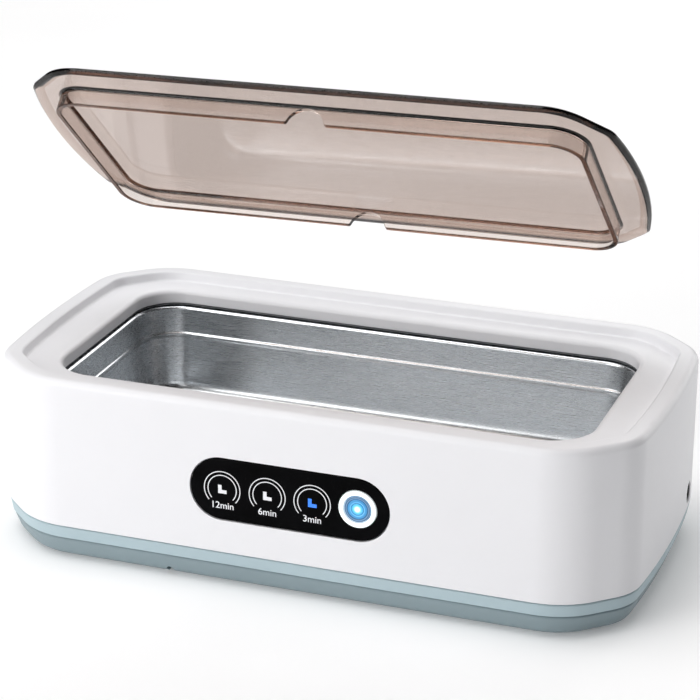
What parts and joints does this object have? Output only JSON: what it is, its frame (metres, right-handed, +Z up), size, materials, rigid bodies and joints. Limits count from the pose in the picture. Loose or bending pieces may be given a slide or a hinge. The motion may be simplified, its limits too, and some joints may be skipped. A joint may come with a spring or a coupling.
{
  "type": "ultrasonic cleaner",
  "caption": "Table-top ultrasonic cleaner: long white housing with a steel tank, two-tier grey base, touch panel with a lit power button, and a lift-off smoke-tinted lid.",
  "frame": {"origin": "on the table surface, under the centre of the housing", "axes": "+X to the user's right along the long side, +Y from the control panel to the back, +Z up"},
  "size_m": [0.21, 0.11, 0.159],
  "materials": {
    "white_shell": "satin-gloss moulded plastic",
    "grey_frame": "fine matt moulding",
    "grey_cover": "fine matt moulding",
    "smoke_clear": "polished smoke-brown clear plastic",
    "tank_steel": "drawn stainless steel",
    "gasket": "soft seal",
    "rubber": "matt rubber",
    "screw_steel": "zinc-plated",
    "aluminium": "plain",
    "piezo_ceramic": "fired ceramic with silvered faces",
    "panel_black": "high-gloss black",
    "light_ring": "translucent light guide",
    "button_blue": "lit translucent blue",
    "board_green": "solder-masked glass-fibre board",
    "black_plastic": "moulded component body",
    "white_plastic": "moulded component body",
    "ferrite": "ground ferrite",
    "yellow_wrap": "tape wrap",
    "blue_sleeve": "shrink sleeve",
    "red_wire": "insulated lead",
    "black_wire": "insulated lead"
  },
  "bodies": {
    "housing": {"upper_housing": "white_shell", "base_frame": "grey_frame", "bottom_cover": "grey_cover", "foot_front_left": "rubber", "foot_front_right": "rubber", "foot_rear_left": "rubber", "foot_rear_right": "rubber", "housing_screw_front_left": "screw_steel", "housing_screw_front_right": "screw_steel", "housing_screw_rear_left": "screw_steel", "housing_screw_rear_right": "screw_steel", "tank": "tank_steel", "tank_gasket": "gasket", "transducer_pad": "aluminium", "piezo_disc": "piezo_ceramic", "control_panel": "panel_black", "button_ring": "light_ring", "control_board": "board_green", "control_board_screw_left": "screw_steel", "control_board_screw_right": "screw_steel", "timer_led_12_min": "white_plastic", "timer_led_6_min": "white_plastic", "timer_led_3_min": "white_plastic", "button_switch": "black_plastic", "timer_chip": "black_plastic", "driver_board": "board_green", "driver_board_screw_1": "screw_steel", "driver_board_screw_2": "screw_steel", "driver_board_screw_3": "screw_steel", "driver_board_screw_4": "screw_steel", "heat_sink": "aluminium", "power_transistor": "black_plastic", "transformer_core": "ferrite", "transformer_winding": "yellow_wrap", "film_capacitor": "yellow_wrap", "bulk_capacitor": "blue_sleeve", "piezo_connector": "white_plastic", "inlet_connector": "white_plastic", "dc_jack": "black_plastic", "piezo_lead_red": "red_wire", "piezo_lead_black": "black_wire", "inlet_lead_red": "red_wire", "inlet_lead_black": "black_wire", "control_cable": "black_wire"},
    "lid": {"lid": "smoke_clear"},
    "power_button": {"power_button": "button_blue"}
  },
  "joints": [
    {"name": "lid_swing", "type": "hinge", "parent": "housing", "child": "lid", "pos_m": [0, 0.0836, 0.1066], "axis": [0.9996, 0.0261, -0.0043], "range_deg": [0, 41.6]},
    {"name": "power_button_press", "type": "slide", "parent": "housing", "child": "power_button", "axis": [0, 1, 0], "range_m": [0, 0.0006], "stiffness_N_per_m": 1500}
  ]
}
